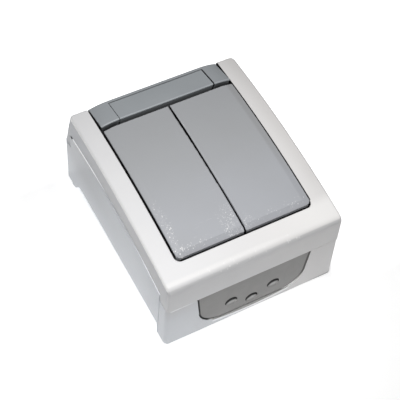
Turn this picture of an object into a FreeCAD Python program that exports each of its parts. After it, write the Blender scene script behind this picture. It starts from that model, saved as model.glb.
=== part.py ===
import FreeCAD
import Part
import math
import os

Vec = FreeCAD.Vector
X_AXIS = Vec(1, 0, 0)
Y_AXIS = Vec(0, 1, 0)
Z_AXIS = Vec(0, 0, 1)

# Housing lying on its back: X across, Y up the wall, Z out of the wall, origin under its middle
body_width = 67.0
body_length = 81.6
corner_radius = 1.8
side_draft = 0.016
joint_gap = 0.05
column_step = 0.15
cover_side_step = 0.3
cover_end_step = 0.08
soft_edge = 0.4
pick_margin = 0.1

# Front face: one shallow arc along Y, with a soft near edge and a far end that leans in
face_radius = 287.0
face_apex_y = 13.0
face_apex_z = 38.75
near_edge_radius = 2.8
side_edge_radius = 0.9
far_lean = 4.6
far_lean_bulge = 0.2

# Parting line: level on the end walls, arched on the sides
end_part_height = 21.3
side_part_radius = 200.0
side_part_apex_y = 8.7
side_part_apex_z = 30.15
cover_wrap_near = 5.5
cover_wrap_far = 5.6

# Cover walls and openings
cover_wall = 2.2
cover_end_wall = 3.0
skirt_wall = 1.55
skirt_clearance = 0.3
side_bar_width = 7.9
near_bar_width = 8.4
opening_corner_radius = 2.1
crossbar_thickness = 2.0

# Label strip and its plate
strip_zone_length = 16.2
strip_seat_depth = 3.75
strip_rise = 2.65
strip_fall = 3.2
strip_near_round_off = 1.2
strip_far_round_off = 1.9
strip_side_gap = 0.5
strip_undercut = 1.6
strip_far_radius = 1.2
label_half_width = 18.2
label_length = 9.2
label_thickness = 1.0
label_gap = 0.22
tongue_x = 12.0
tongue_half_width = 4.0
tongue_thickness = 1.4
tongue_reach = 3.2
tongue_inset = 4.0
tongue_clearance = 0.15

# Rockers
rocker_proud = 1.4
rocker_near_gap = 0.75
rocker_far_gap = 1.1
rocker_side_gap = 0.45
rocker_split_gap = 0.6
rocker_skirt = 5.5
rocker_wall = 1.5
rocker_near_bevel = 1.7
rocker_near_bevel_drop = 1.0
rocker_side_bevel = 2.5
rocker_side_bevel_drop = 0.45
rocker_corner_radius = 1.6
rocker_far_corner_radius = 0.4
rocker_rib_thickness = 2.0
rocker_rib_offset = 11.0
clip_thickness = 1.2
clip_clearance = 0.15
clip_reach = 1.2
clip_barb = 0.5

# Base box
base_wall = 1.8
base_floor = 2.0
base_inner_radius = 1.2
side_rebate_height = 5.6
side_rebate_depth = 4.6
near_foot_length = 5.9
far_foot_length = 5.3
far_foot_ramp = 9.2
panel_chamfer = 0.12
panel_chamfer_shift = 3.6
shelf_width = 2.55
shelf_thickness = 2.0
wall_hole_radius = 2.2
wall_hole_x = 20.0
wall_hole_y = 32.0
hook_y = 18.0
hook_half_width = 4.0
hook_reach = 0.9
hook_land = 0.6
hook_height = 2.2
hook_rise = 1.0
hook_clearance = 0.2

# Gasket
gasket_thickness = 1.5
gasket_width = 1.9
gasket_clearance = 0.25

# Cable entry insert
entry_half_top = 21.8
entry_half_width = 20.8
entry_corner_radius = 9.0
entry_bottom = 3.0
entry_clearance = 0.35
entry_recess = 0.25
entry_flange = 1.0
entry_flange_thickness = 1.5
dimple_pitch = 8.2
dimple_radius = 2.4
dimple_depth = 1.4
dimple_outer_height = 10.1
dimple_middle_height = 7.0
dimple_membrane = 0.8

# Mechanism housing
mechanism_lift = 4.0
mechanism_floor = 3.0
mechanism_half_length = 16.0
mechanism_wall = 2.4
mechanism_height = 16.0
well_half_length = 12.0
ear_thickness = 2.0
ear_round = 2.8
ear_half_width = 4.0
ear_side_clearance = 0.3
terminal_deck_length = 6.0
barrier_thickness = 1.2
barrier_height = 9.0
lug_half_width = 3.6
lug_thickness = 2.5
lug_rise = 8.0
post_radius = 3.0
post_clearance = 0.4
post_rib_thickness = 1.6
post_rib_drop = 3.0

# Screws
screw_radius = 1.5
screw_hole_clearance = 0.05
screw_head_radius = 2.6
screw_head_height = 2.0
screw_slot_width = 0.7
screw_slot_depth = 0.9
mechanism_screw_grip = 7.0

# Cradle, plunger and spring
hub_half_length = 5.2
hub_radius = 2.6
trunnion_radius = 1.4
running_clearance = 0.05
cradle_plate_half_width = 8.0
cradle_plate_half_length = 14.0
cradle_plate_thickness = 1.8
cradle_plate_clearance = 0.7
sleeve_radius = 3.1
sleeve_bore = 2.05
sleeve_overlap = 2.8
plunger_clearance = 0.1
plunger_length = 7.75
plunger_tip_clearance = 0.3
spring_length = 6.6
spring_turns = 5
spring_steps = 12
spring_wire_radius = 0.3
spring_wire_sides = 6
spring_seat_drop = 1.1

# Contacts and terminals
brass_thickness = 1.0
brass_half_width = 2.0
tab_half_width = 2.5
tab_clearance = 0.1
blade_height = 4.25
blade_half_thickness = 0.42
seesaw_half_length = 8.0
seesaw_thickness = 1.0
seesaw_groove_clearance = 0.08
rivet_offset = 6.5
rivet_radius = 1.2
moving_rivet_height = 0.7
fixed_rivet_height = 1.5
clamp_half_width = 3.4
clamp_length = 5.4
clamp_height = 7.5
clamp_clearance = 0.3
wire_hole_radius = 1.7
wire_hole_height = 2.7

# Places that follow from the sizes above
half_width = body_width / 2
half_length = body_length / 2
cover_half_length = half_length - cover_end_step
opening_half_width = half_width - side_bar_width
opening_near = -half_length + near_bar_width
strip_near = half_length - strip_zone_length
strip_slope = strip_fall / strip_zone_length
strip_seat_height = face_apex_z - strip_seat_depth
strip_near_height = face_apex_z + strip_rise
strip_far_height = strip_near_height - strip_fall
rocker_near = opening_near + rocker_near_gap
rocker_far = strip_near - rocker_far_gap
rocker_inner_x = rocker_split_gap / 2
rocker_outer_x = opening_half_width - rocker_side_gap
gang_x = (rocker_inner_x + rocker_outer_x) / 2
pivot_y = (rocker_near + rocker_far) / 2
base_inner_x = half_width - side_draft * side_part_apex_z - base_wall
base_inner_y = half_length - base_wall
skirt_outer_x = base_inner_x - skirt_clearance
skirt_inner_x = skirt_outer_x - skirt_wall
shelf_top = end_part_height - gasket_thickness
mechanism_bottom = base_floor + mechanism_lift
deck_z = mechanism_bottom + mechanism_floor
mechanism_top = mechanism_bottom + mechanism_height
ear_inner = hub_half_length + ear_side_clearance
ear_outer = ear_inner + ear_thickness
mechanism_half_width = gang_x + ear_inner + mechanism_wall
mechanism_near = pivot_y - mechanism_half_length
mechanism_far = pivot_y + mechanism_half_length
lug_z = mechanism_bottom + lug_rise
lug_screw_x = mechanism_half_width + post_clearance + post_radius
seesaw_z = deck_z + blade_height
plunger_tip_z = seesaw_z + seesaw_thickness + plunger_tip_clearance
plunger_top_z = plunger_tip_z + plunger_length
spring_top_z = plunger_top_z + spring_length
pivot_z = spring_top_z + spring_seat_drop
plate_z = pivot_z + ear_round + cradle_plate_clearance
plate_top_z = plate_z + cradle_plate_thickness
clamp_y = mechanism_near - clamp_clearance - clamp_length / 2
above_all = strip_near_height + body_width


def line(start, end):
    return Part.LineSegment(start, end).toShape()


def arc(start, middle, end):
    return Part.Arc(start, middle, end).toShape()


def face_of(edges):
    return Part.Face(Part.Wire(edges))


def block(x0, x1, y0, y1, z0, z1):
    return Part.makeBox(x1 - x0, y1 - y0, z1 - z0, Vec(x0, y0, z0))


def rounded_block(half_x, y0, y1, z0, z1, radius):
    """Block across the middle plane whose upright edges are rounded."""
    solid = block(-half_x, half_x, y0, y1, z0, z1)
    corners = [edge for edge in solid.Edges if edge.BoundBox.ZLength > (z1 - z0) / 2]
    return solid.makeFillet(radius, corners)


def housing_block(side_step, end_step, z0, z1):
    """Body of the housing between two heights, set in by two steps, with sides that draw in upwards."""
    y0 = -half_length + end_step
    corners = []
    for side, z in ((-1, z0), (1, z0), (1, z1), (-1, z1)):
        corners.append(Vec(side * (half_width - side_step - side_draft * z), y0, z))
    section = Part.Face(Part.makePolygon(corners + corners[:1]))
    return section.extrude(Vec(0, body_length - 2 * end_step, 0))


def upright(radius, x, y, z0, z1):
    return Part.makeCylinder(radius, z1 - z0, Vec(x, y, z0), Z_AXIS)


def across(radius, x0, x1, y, z):
    return Part.makeCylinder(radius, x1 - x0, Vec(x0, y, z), X_AXIS)


def both_sides(solid):
    return [solid, solid.mirror(Vec(0, 0, 0), X_AXIS)]


def face_z(y, offset=0.0):
    """Height of the arched front face, or of a surface parallel to it."""
    radius = face_radius + offset
    return face_apex_z - face_radius + math.sqrt(radius ** 2 - (y - face_apex_y) ** 2)


def face_arc(y0, y1, offset=0.0):
    points = [Vec(0, y, face_z(y, offset)) for y in (y0, (y0 + y1) / 2, y1)]
    return arc(*points)


def side_part_z(y):
    """Height of the arched parting line on the sides."""
    drop = side_part_radius - math.sqrt(side_part_radius ** 2 - (y - side_part_apex_y) ** 2)
    return side_part_apex_z - drop


def lean_points(inset):
    """Far wall from its foot to the front face, leaning in with a slight bulge."""
    foot = Vec(0, cover_half_length - inset, end_part_height)
    top_y = cover_half_length - far_lean - inset
    top = Vec(0, top_y, face_z(top_y, -inset))
    middle = (foot + top) / 2 + Vec(0, far_lean_bulge, 0)
    return foot, middle, top


def cover_profile(inset):
    """Side outline of the cover, with square edges, set in by a wall."""
    near_y = -cover_half_length + inset
    foot, middle, top = lean_points(inset)
    near_foot = Vec(0, near_y, end_part_height)
    near_top = Vec(0, near_y, face_z(near_y, -inset))
    return face_of([
        line(near_foot, near_top),
        face_arc(near_y, top.y, -inset),
        arc(top, middle, foot),
        line(foot, near_foot),
    ])


def near_rounding():
    """Start, middle and end of the soft near edge between end wall and front face."""
    arch = Vec(0, face_apex_y, face_apex_z - face_radius)
    reach = face_radius - near_edge_radius
    y = -cover_half_length + near_edge_radius
    centre = Vec(0, y, arch.z + math.sqrt(reach ** 2 - (y - face_apex_y) ** 2))
    outward = (centre - arch).normalize()
    between = (outward - Y_AXIS).normalize()
    start = centre - Vec(0, near_edge_radius, 0)
    return start, centre + between * near_edge_radius, centre + outward * near_edge_radius


def cover_outline():
    """Side outline of the cover with its soft near edge."""
    start, bend, end = near_rounding()
    foot, middle, top = lean_points(0.0)
    near_foot = Vec(0, -cover_half_length, end_part_height)
    return face_of([
        line(near_foot, start),
        arc(start, bend, end),
        face_arc(end.y, top.y),
        arc(top, middle, foot),
        line(foot, near_foot),
    ])


def spread(face, half_x):
    """A side outline pulled across the whole width."""
    placed = face.copy()
    placed.translate(Vec(-half_x, 0, 0))
    return placed.extrude(Vec(2 * half_x, 0, 0))


def cover_skin():
    """Outer form of the cover: arched top, leaning far end, rounded corners and edges."""
    solid = housing_block(cover_side_step, cover_end_step, end_part_height, face_apex_z + cover_wall)
    solid = solid.common(spread(cover_outline(), half_width))
    far_top = lean_points(0.0)[2]
    leaning = [edge for edge in solid.Edges
               if edge.BoundBox.XLength < corner_radius and edge.BoundBox.YMin > far_top.y - pick_margin]
    solid = solid.makeFillet(corner_radius, leaning)
    rim = [edge for edge in solid.Edges
           if edge.BoundBox.XLength < corner_radius and edge.BoundBox.YLength > half_length
           and edge.BoundBox.ZMax > end_part_height + near_edge_radius]
    return solid.makeFillet(side_edge_radius, rim)


def side_panel(gap, x0, x1):
    """Side wall region under the arched parting line, clear of the cover by a gap."""
    y0 = -half_length + cover_wrap_near + gap
    y1 = half_length - cover_wrap_far - gap
    points = [Vec(x0, y, side_part_z(y) - gap) for y in (y0, (y0 + y1) / 2, y1)]
    edges = [
        line(Vec(x0, y0, 0), points[0]),
        arc(*points),
        line(points[2], Vec(x0, y1, 0)),
        line(Vec(x0, y1, 0), Vec(x0, y0, 0)),
    ]
    return face_of(edges).extrude(Vec(x1 - x0, 0, 0))


def cover_hook(side_y):
    """Snap hook on the outside of a skirt, sloped below and square on top."""
    low = end_part_height + hook_rise
    top = low + hook_height
    y0 = side_y * hook_y - hook_half_width
    tip = skirt_outer_x + hook_reach
    corners = [
        Vec(skirt_inner_x, y0, low),
        Vec(skirt_outer_x, y0, low),
        Vec(tip, y0, top - hook_land),
        Vec(tip, y0, top),
        Vec(skirt_inner_x, y0, top),
    ]
    return Part.Face(Part.makePolygon(corners + corners[:1])).extrude(Vec(0, 2 * hook_half_width, 0))


def hook_window(side_y):
    """Pocket in a side panel that takes a snap hook."""
    low = end_part_height + hook_rise - hook_clearance
    top = low + hook_height + 2 * hook_clearance
    middle = side_y * hook_y
    reach = hook_half_width + hook_clearance
    return block(skirt_outer_x, skirt_outer_x + hook_reach + hook_clearance, middle - reach, middle + reach,
                 low, top)


def tongue_block(side, clearance, low, high):
    """Tongue under the label strip, or with a clearance the slot that takes it."""
    half_x = tongue_half_width + clearance
    y0 = strip_near + tongue_inset - clearance
    return block(side * tongue_x - half_x, side * tongue_x + half_x,
                 y0, y0 + tongue_thickness + 2 * clearance, low, high)


def soft_opening(cover):
    """Rounds the edge of the rocker opening where it meets the front face."""
    rim = []
    for edge in cover.Edges:
        box = edge.BoundBox
        points = edge.discretize(3)
        on_face = all(abs(point.z - face_z(point.y)) < pick_margin for point in points)
        inside = max(-box.XMin, box.XMax) < opening_half_width + pick_margin
        if on_face and inside and box.YMin > opening_near - pick_margin:
            rim.append(edge)
    return cover.makeFillet(soft_edge, rim)


def make_cover_frame():
    skin = cover_skin()
    hollow = spread(cover_profile(cover_wall), skirt_inner_x)
    room = block(-skirt_inner_x, skirt_inner_x, -cover_half_length + cover_end_wall, half_length,
                 end_part_height, above_all)
    crossbar = block(-skirt_inner_x, skirt_inner_x, strip_near, half_length,
                     strip_seat_height - crossbar_thickness, strip_seat_height)
    cover = skin.cut(hollow.common(room)).fuse(skin.common(crossbar))
    opening = rounded_block(opening_half_width, opening_near, strip_near + opening_corner_radius,
                            end_part_height, above_all, opening_corner_radius)
    clear_of_bar = block(-half_width, half_width, -half_length, strip_near, end_part_height, above_all)
    strip_seat = block(-opening_half_width, opening_half_width, strip_near, body_length,
                       strip_seat_height, above_all)
    slots = [tongue_block(side, tongue_clearance, end_part_height, strip_seat_height) for side in (-1, 1)]
    cover = cover.cut([opening.common(clear_of_bar), strip_seat] + slots).removeSplitter()
    cover = soft_opening(cover).cut(both_sides(side_panel(0.0, skirt_outer_x, body_width)))
    hooks = both_sides(cover_hook(-1)) + both_sides(cover_hook(1))
    return cover.fuse(hooks).removeSplitter()


def side_rebate():
    """Raised lower edge of a side between the feet: square at the near foot, ramped at the far one."""
    bend = (far_foot_ramp ** 2 + side_rebate_height ** 2) / (4 * side_rebate_height)
    x = half_width - side_rebate_depth
    near_y = -half_length + near_foot_length
    foot_y = half_length - far_foot_length
    ramp_y = foot_y - far_foot_ramp
    half_turn = math.asin(far_foot_ramp / 2 / bend) / 2
    side = bend * math.sin(half_turn)
    rise = bend * (1 - math.cos(half_turn))
    middle = Vec(x, (foot_y + ramp_y) / 2, side_rebate_height / 2)
    edges = [
        line(Vec(x, near_y, -base_floor), Vec(x, near_y, side_rebate_height)),
        line(Vec(x, near_y, side_rebate_height), Vec(x, ramp_y, side_rebate_height)),
        arc(Vec(x, ramp_y, side_rebate_height), Vec(x, ramp_y + side, side_rebate_height - rise), middle),
        arc(middle, Vec(x, foot_y - side, rise), Vec(x, foot_y, 0)),
        line(Vec(x, foot_y, 0), Vec(x, foot_y, -base_floor)),
        line(Vec(x, foot_y, -base_floor), Vec(x, near_y, -base_floor)),
    ]
    return face_of(edges).extrude(Vec(side_rebate_depth, 0, 0))


def entry_solid(grow, top, y0, y1):
    """D-shaped slab for the cable entry, grown evenly all round its curved edge."""
    middle_z = entry_bottom + entry_corner_radius
    flare = (entry_half_top - entry_half_width) / (end_part_height - middle_z)
    half_mid = entry_half_width + grow
    half_top = half_mid + flare * (top - middle_z)
    radius = entry_corner_radius + grow
    low = entry_bottom - grow
    flat = entry_half_width - entry_corner_radius
    bend = radius * math.sqrt(2) / 2
    edges = [
        line(Vec(-half_top, y0, top), Vec(-half_mid, y0, middle_z)),
        arc(Vec(-half_mid, y0, middle_z), Vec(-flat - bend, y0, middle_z - bend), Vec(-flat, y0, low)),
        line(Vec(-flat, y0, low), Vec(flat, y0, low)),
        arc(Vec(flat, y0, low), Vec(flat + bend, y0, middle_z - bend), Vec(half_mid, y0, middle_z)),
        line(Vec(half_mid, y0, middle_z), Vec(half_top, y0, top)),
        line(Vec(half_top, y0, top), Vec(-half_top, y0, top)),
    ]
    return face_of(edges).extrude(Vec(0, y1 - y0, 0))


def panel_chamfer_ring():
    """Ring that chamfers a side panel's arched edge, deepest at the far end and fading out on the way."""
    centre = Vec(0, side_part_apex_y - panel_chamfer_shift, side_part_apex_z - side_part_radius)
    rim_z = side_part_apex_z - joint_gap
    face_x = half_width - side_draft * side_part_apex_z
    corners = [
        Vec(face_x + base_wall, centre.y, rim_z - panel_chamfer - base_wall),
        Vec(face_x + base_wall, centre.y, rim_z + base_wall),
        Vec(face_x - panel_chamfer - base_wall, centre.y, rim_z + base_wall),
    ]
    return Part.Face(Part.makePolygon(corners + corners[:1])).revolve(centre, X_AXIS, 360)


def make_base_box():
    rim = end_part_height - joint_gap
    lower_inner_x = half_width - side_rebate_depth - base_wall
    ledge = side_rebate_height + base_floor
    outer = housing_block(column_step, 0.0, 0, rim)
    columns = [edge for edge in outer.Edges if edge.BoundBox.ZLength > rim / 2]
    outer = outer.makeFillet(corner_radius, columns)
    upper_room = rounded_block(base_inner_x, -base_inner_y, base_inner_y, ledge, rim, base_inner_radius)
    lower_room = rounded_block(lower_inner_x, -base_inner_y, base_inner_y, base_floor, ledge,
                               base_inner_radius)
    tall = housing_block(0.0, 0.0, 0, side_part_apex_z)
    panels = [panel.common(tall) for panel in both_sides(side_panel(joint_gap, base_inner_x, half_width))]
    base = outer.fuse(panels).cut(both_sides(side_rebate())).cut([upper_room, lower_room])
    shelf = block(-base_inner_x, base_inner_x, -base_inner_y, base_inner_y,
                  shelf_top - shelf_thickness, shelf_top)
    shelf_x = base_inner_x - shelf_width
    shelf_y = base_inner_y - shelf_width
    shelf = shelf.cut(block(-shelf_x, shelf_x, -shelf_y, shelf_y, 0, rim))
    post = upright(post_radius, lug_screw_x, pivot_y, 0, lug_z)
    rib = block(lug_screw_x, base_inner_x + base_wall / 2, pivot_y - post_rib_thickness / 2,
                pivot_y + post_rib_thickness / 2, ledge - base_floor, lug_z - post_rib_drop)
    base = base.fuse([shelf] + both_sides(post.fuse(rib)))
    notch = entry_solid(0.0, rim, -half_length, -base_inner_y)
    flange_room = entry_solid(entry_flange + entry_clearance, rim, -base_inner_y, -shelf_y)
    pilots = [upright(screw_radius + screw_hole_clearance, side * lug_screw_x, pivot_y,
                      lug_z - mechanism_screw_grip, lug_z) for side in (-1, 1)]
    wall_holes = [upright(wall_hole_radius, x, y, 0, base_floor)
                  for x in (-wall_hole_x, wall_hole_x) for y in (-wall_hole_y, wall_hole_y)]
    windows = both_sides(hook_window(-1)) + both_sides(hook_window(1))
    chamfers = both_sides(panel_chamfer_ring())
    return base.cut([notch, flange_room] + pilots + wall_holes + windows + chamfers).removeSplitter()


def scoop(x, front_y, height):
    """Round hollow in the insert's face whose floor slants inwards from the lower edge to the top."""
    hollow = Part.makeCylinder(dimple_radius, dimple_depth, Vec(x, front_y, height), Y_AXIS)
    edge_x = x - dimple_radius
    low = height - dimple_radius
    high = height + dimple_radius
    deep_y = front_y + dimple_depth
    corners = [Vec(edge_x, front_y, low), Vec(edge_x, deep_y, high), Vec(edge_x, deep_y, low)]
    slope = Part.Face(Part.makePolygon(corners + corners[:1])).extrude(Vec(2 * dimple_radius, 0, 0))
    return hollow.cut(slope)


def make_cable_entry():
    front_y = -half_length + entry_recess
    back_y = -base_inner_y + entry_flange_thickness
    insert = entry_solid(-entry_clearance, end_part_height - joint_gap, front_y, -base_inner_y)
    insert = insert.fuse(entry_solid(entry_flange, shelf_top, -base_inner_y, back_y))
    for step, height in ((-1, dimple_outer_height), (0, dimple_middle_height), (1, dimple_outer_height)):
        x = step * dimple_pitch
        dimple = scoop(x, front_y, height)
        start = Vec(x, front_y + dimple_depth + dimple_membrane, height)
        pocket = Part.makeCylinder(dimple_radius, back_y - start.y, start, Y_AXIS)
        insert = insert.cut([dimple, pocket])
    return insert.removeSplitter()


def make_cover_gasket():
    outer_x = base_inner_x - gasket_clearance
    outer_y = base_inner_y - gasket_clearance
    ring = rounded_block(outer_x, -outer_y, outer_y, shelf_top, end_part_height, base_inner_radius)
    inner_x = outer_x - gasket_width
    inner_y = outer_y - gasket_width
    return ring.cut(block(-inner_x, inner_x, -inner_y, inner_y, shelf_top, end_part_height))


def strip_section(y, half_x, crown, drop):
    """Cross-section of the strip: level crown with ends that curve down."""
    low = strip_seat_height
    shoulder = crown - drop
    reach = half_x - label_half_width
    radius = (reach ** 2 + drop ** 2) / (2 * drop)
    half_turn = math.asin(reach / radius) / 2
    bend_x = label_half_width + radius * math.sin(half_turn)
    bend_z = crown - radius * (1 - math.cos(half_turn))
    return face_of([
        line(Vec(-half_x, y, low), Vec(-half_x, y, shoulder)),
        arc(Vec(-half_x, y, shoulder), Vec(-bend_x, y, bend_z), Vec(-label_half_width, y, crown)),
        line(Vec(-label_half_width, y, crown), Vec(label_half_width, y, crown)),
        arc(Vec(label_half_width, y, crown), Vec(bend_x, y, bend_z), Vec(half_x, y, shoulder)),
        line(Vec(half_x, y, shoulder), Vec(half_x, y, low)),
        line(Vec(half_x, y, low), Vec(-half_x, y, low)),
    ])


def make_label_strip():
    half_x = opening_half_width - strip_side_gap
    near = strip_section(strip_near, half_x, strip_near_height, strip_near_round_off)
    far = strip_section(half_length, half_x, strip_far_height, strip_far_round_off)
    wedge = Part.makeLoft([near.OuterWire, far.OuterWire], True, True)
    foot, middle, top = lean_points(0.0)
    high = top + (top - middle)
    near_low = Vec(0, strip_near + strip_undercut, strip_seat_height)
    near_top = Vec(0, strip_near, strip_near_height)
    near_high = near_top + (near_top - near_low)
    side = face_of([
        line(near_low, near_high),
        line(near_high, high),
        line(high, top),
        arc(top, middle, foot),
        line(foot, near_low),
    ])
    strip = wedge.common(spread(side, half_width))
    far_rim = [edge for edge in strip.Edges
               if edge.BoundBox.XLength > strip_far_radius and edge.BoundBox.YMin > top.y - strip_far_radius
               and edge.BoundBox.ZMin > strip_seat_height + strip_far_radius]
    strip = strip.makeFillet(strip_far_radius, far_rim)
    near_rim = [edge for edge in strip.Edges
                if edge.BoundBox.YMax < strip_near + strip_undercut / 2
                and edge.BoundBox.XLength > strip_undercut]
    strip = strip.makeFillet(soft_edge, near_rim)
    tongues = [tongue_block(side, 0.0, strip_seat_height - tongue_reach, strip_seat_height)
               for side in (-1, 1)]
    return strip.cut(label_slab(label_gap)).fuse(tongues).removeSplitter()


def label_slab(gap):
    """Sloping slab of the label plate, or with a gap the pocket that takes it."""
    half_x = label_half_width + gap
    length = label_length + gap
    low = strip_near_height - label_thickness
    corners = [Vec(side * half_x, strip_near, z) for side, z in
               ((-1, low), (1, low), (1, strip_near_height), (-1, strip_near_height))]
    near = Part.Face(Part.makePolygon(corners + corners[:1]))
    return near.extrude(Vec(0, length, -length * strip_slope))


def make_label_plate():
    corners = [
        Vec(-label_half_width, strip_near, strip_near_height),
        Vec(-label_half_width, strip_near, strip_seat_height),
        Vec(-label_half_width, strip_near + strip_undercut, strip_seat_height),
    ]
    undercut = Part.Face(Part.makePolygon(corners + corners[:1])).extrude(Vec(2 * label_half_width, 0, 0))
    plate = label_slab(0.0).cut(undercut)
    near_rim = [edge for edge in plate.Edges
                if edge.BoundBox.YMax < strip_near + pick_margin
                and edge.BoundBox.ZMin > strip_near_height - pick_margin]
    return plate.makeFillet(soft_edge, near_rim)


def rocker_profile(inset, low):
    """Side outline of a rocker, with its bevelled near edge, down to its skirt."""
    near_y = rocker_near + inset
    far_y = rocker_far - inset
    lift = rocker_proud - inset
    bevel_y = near_y + rocker_near_bevel
    near_top = Vec(0, near_y, face_z(near_y, lift) - rocker_near_bevel_drop)
    near_low = Vec(0, near_y, face_z(near_y, low))
    far_low = Vec(0, far_y, face_z(far_y, low))
    far_top = Vec(0, far_y, face_z(far_y, lift))
    return face_of([
        line(near_low, near_top),
        line(near_top, Vec(0, bevel_y, face_z(bevel_y, lift))),
        face_arc(bevel_y, far_y, lift),
        line(far_top, far_low),
        face_arc(far_y, near_y, low),
    ])


def rocker_form(inset, low):
    """Rocker body between its split and its outer side."""
    face = rocker_profile(inset, low)
    face.translate(Vec(rocker_inner_x + inset, 0, 0))
    return face.extrude(Vec(rocker_outer_x - rocker_inner_x - 2 * inset, 0, 0))


def rocker_side_bevel_ring():
    """Ring round the arch's axis that bevels the rocker's outer edge evenly along the arc."""
    top = face_z(face_apex_y, rocker_proud)
    inner = Vec(rocker_outer_x - rocker_side_bevel, face_apex_y, top)
    outer = Vec(rocker_outer_x, face_apex_y, top - rocker_side_bevel_drop)
    beyond = outer * 2 - inner
    above = Vec(beyond.x, face_apex_y, top)
    section = Part.Face(Part.makePolygon([inner, beyond, above, inner]))
    return section.revolve(Vec(0, face_apex_y, face_apex_z - face_radius), X_AXIS, 360)


def soft_top(solid):
    """Rounds the two long top edges of a rocker."""
    rim = []
    for edge in solid.Edges:
        box = edge.BoundBox
        points = edge.discretize(3)
        high = all(point.z > face_z(point.y, rocker_proud) - rocker_side_bevel_drop - pick_margin
                   for point in points)
        at_side = box.XLength < pick_margin and (
            box.XMax < rocker_inner_x + pick_margin or box.XMin > rocker_outer_x - pick_margin)
        if high and at_side and box.YLength > half_length:
            rim.append(edge)
    return solid.makeFillet(soft_edge, rim)


def rocker_clip(side, y):
    """Leg that hangs beside the cradle plate, with a barb that snaps under it."""
    near_x = gang_x + side * (cradle_plate_half_width + clip_clearance)
    far_x = near_x + side * clip_thickness
    barb_x = near_x - side * clip_barb
    barb_z = plate_z - clip_clearance
    low = barb_z - clip_reach
    y0 = y - rocker_rib_thickness / 2
    corners = [
        Vec(far_x, y0, face_z(y)),
        Vec(near_x, y0, face_z(y)),
        Vec(near_x, y0, barb_z),
        Vec(barb_x, y0, barb_z),
        Vec(near_x, y0, low),
        Vec(far_x, y0, low),
    ]
    leg = Part.Face(Part.makePolygon(corners + corners[:1])).extrude(Vec(0, rocker_rib_thickness, 0))
    bridge = block(min(gang_x, far_x), max(gang_x, far_x), y0, y0 + rocker_rib_thickness,
                   plate_top_z + clip_clearance, face_z(y))
    return leg.fuse(bridge)


def make_rocker():
    solid = rocker_form(0.0, -rocker_skirt + rocker_proud)
    corners = [edge for edge in solid.Edges
               if edge.BoundBox.XLength < pick_margin and edge.BoundBox.YLength < pick_margin
               and edge.BoundBox.XMin > gang_x]
    solid = solid.makeFillet(rocker_corner_radius, [edge for edge in corners if edge.BoundBox.YMax < pivot_y])
    corners = [edge for edge in solid.Edges
               if edge.BoundBox.XLength < pick_margin and edge.BoundBox.YLength < pick_margin
               and edge.BoundBox.XMin > gang_x and edge.BoundBox.YMin > pivot_y]
    solid = solid.makeFillet(rocker_far_corner_radius, corners)
    solid = soft_top(solid.cut(rocker_side_bevel_ring()))
    rocker = solid.cut(rocker_form(rocker_wall, -body_width))
    grips = []
    for side in (-1, 1):
        y = pivot_y + side * rocker_rib_offset
        grips.append(block(gang_x - cradle_plate_half_width, gang_x + cradle_plate_half_width,
                           y - rocker_rib_thickness / 2, y + rocker_rib_thickness / 2,
                           plate_top_z, face_z(y)))
        grips += [rocker_clip(-1, y), rocker_clip(1, y)]
    return rocker.fuse(grips).removeSplitter()


def make_mechanism_body():
    body = block(-mechanism_half_width, mechanism_half_width, mechanism_near, mechanism_far,
                 mechanism_bottom, mechanism_top)
    deck = block(-mechanism_half_width, mechanism_half_width, mechanism_near - terminal_deck_length,
                 mechanism_near, mechanism_bottom, deck_z)
    solids = [deck]
    cuts = []
    for side in (-1, 1):
        lug_end = side * (lug_screw_x + lug_half_width)
        solids.append(block(min(0, lug_end), max(0, lug_end), pivot_y - lug_half_width,
                            pivot_y + lug_half_width, lug_z, lug_z + lug_thickness))
        cuts.append(upright(screw_radius + screw_hole_clearance, side * lug_screw_x, pivot_y,
                            lug_z, lug_z + lug_thickness))
        centre = side * gang_x
        barrier_x = centre / 2
        solids.append(block(barrier_x - barrier_thickness / 2, barrier_x + barrier_thickness / 2,
                            mechanism_near - terminal_deck_length, mechanism_near,
                            mechanism_bottom, deck_z + barrier_height))
        for ear_side in (-1, 1):
            x0 = centre + min(ear_side * ear_inner, ear_side * ear_outer)
            solids.append(block(x0, x0 + ear_thickness, pivot_y - ear_half_width, pivot_y + ear_half_width,
                                mechanism_bottom, pivot_z - ear_round))
            solids.append(block(x0, x0 + ear_thickness, pivot_y - ear_round, pivot_y + ear_round,
                                mechanism_bottom, pivot_z))
            solids.append(across(ear_round, x0, x0 + ear_thickness, pivot_y, pivot_z))
        cuts.append(across(trunnion_radius + running_clearance, centre - ear_outer, centre + ear_outer,
                           pivot_y, pivot_z))
        cuts.append(block(centre - ear_inner, centre + ear_inner, pivot_y - well_half_length,
                          pivot_y + well_half_length, deck_z, above_all))
    slot_top = deck_z + brass_thickness + tab_clearance
    slot_half = tab_half_width + tab_clearance
    for x in (-gang_x, 0, gang_x):
        cuts.append(block(x - slot_half, x + slot_half, mechanism_near, pivot_y, deck_z, slot_top))
    bar_half = brass_half_width + tab_clearance
    cuts.append(block(-gang_x, gang_x, pivot_y - bar_half, pivot_y + bar_half, deck_z, slot_top))
    return body.fuse(solids).cut(cuts).removeSplitter()


def make_screw(x, y, seat_z, length):
    """Cheese-head screw with a driver slot, standing on its seat."""
    screw = upright(screw_radius, x, y, seat_z - length, seat_z)
    screw = screw.fuse(upright(screw_head_radius, x, y, seat_z, seat_z + screw_head_height))
    slot_z = seat_z + screw_head_height - screw_slot_depth
    slot = block(x - screw_head_radius, x + screw_head_radius, y - screw_slot_width / 2,
                 y + screw_slot_width / 2, slot_z, slot_z + screw_head_height)
    return screw.cut(slot).removeSplitter()


def make_mechanism_screws():
    seat = lug_z + lug_thickness
    length = lug_thickness + mechanism_screw_grip
    return Part.makeCompound([make_screw(side * lug_screw_x, pivot_y, seat, length) for side in (-1, 1)])


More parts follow.
